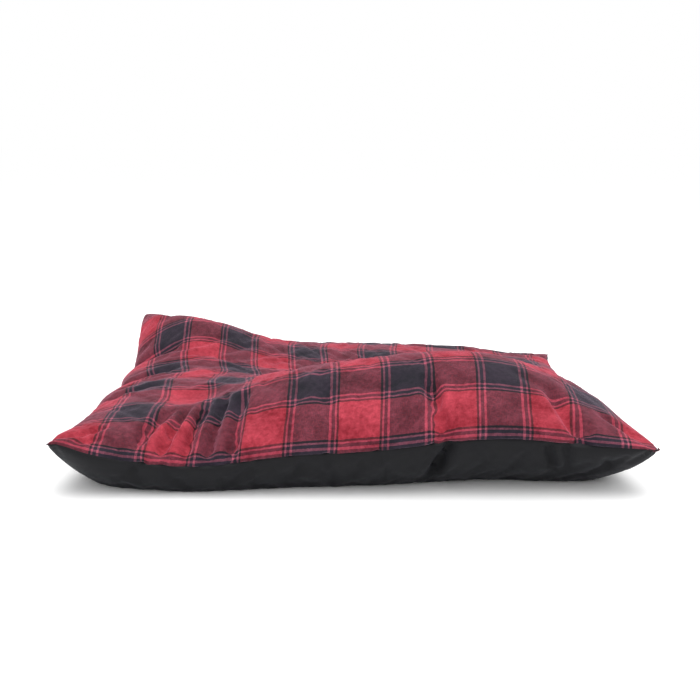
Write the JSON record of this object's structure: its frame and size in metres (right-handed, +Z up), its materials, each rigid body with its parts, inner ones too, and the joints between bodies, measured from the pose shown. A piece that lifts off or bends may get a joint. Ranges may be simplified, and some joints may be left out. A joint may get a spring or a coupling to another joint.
{
  "type": "pet cushion bed",
  "caption": "Stuffed rectangular pet bed with a plaid plush top, plain dark base, inner liner and a zip along the back seam.",
  "frame": {"origin": "middle of the footprint on the floor", "axes": "+X along the long front seam to the viewer's right, +Y to the back seam with the zip, +Z up"},
  "size_m": [0.858, 0.66, 0.1775],
  "materials": {
    "plaid_plush": "brushed plush with a woven plaid pattern",
    "dark_canvas": "plain matt twill",
    "liner_ticking": "plain unbleached weave",
    "polyester_fibre": "lofted fibre",
    "zip_tape": "tight woven tape",
    "zip_coil": "satin moulded",
    "zip_metal": "satin dark enamel",
    "label_satin": "smooth satin, blank"
  },
  "bodies": {
    "cushion": {"cover_top_panel": "plaid_plush", "cover_base_panel": "dark_canvas", "liner_top_panel": "liner_ticking", "liner_base_panel": "liner_ticking", "fibre_fill": "polyester_fibre", "zip_tape_upper": "zip_tape", "zip_tape_lower": "zip_tape", "zip_coil_upper": "zip_coil", "zip_coil_lower": "zip_coil", "zip_top_stops": "zip_metal", "zip_bottom_stop": "zip_metal", "care_label": "label_satin"},
    "zip_slider": {"zip_slider_body": "zip_metal"},
    "zip_pull": {"zip_pull_tab": "zip_metal"}
  },
  "joints": [
    {"name": "slider_travel", "type": "slide", "parent": "cushion", "child": "zip_slider", "axis": [-1, 0, 0], "range_m": [0, 0.479]},
    {"name": "pull_swing", "type": "hinge", "parent": "zip_slider", "child": "zip_pull", "pos_m": [0.2395, 0.3285, 0.064], "axis": [0, 0, -1], "range_deg": [0, 170]}
  ]
}
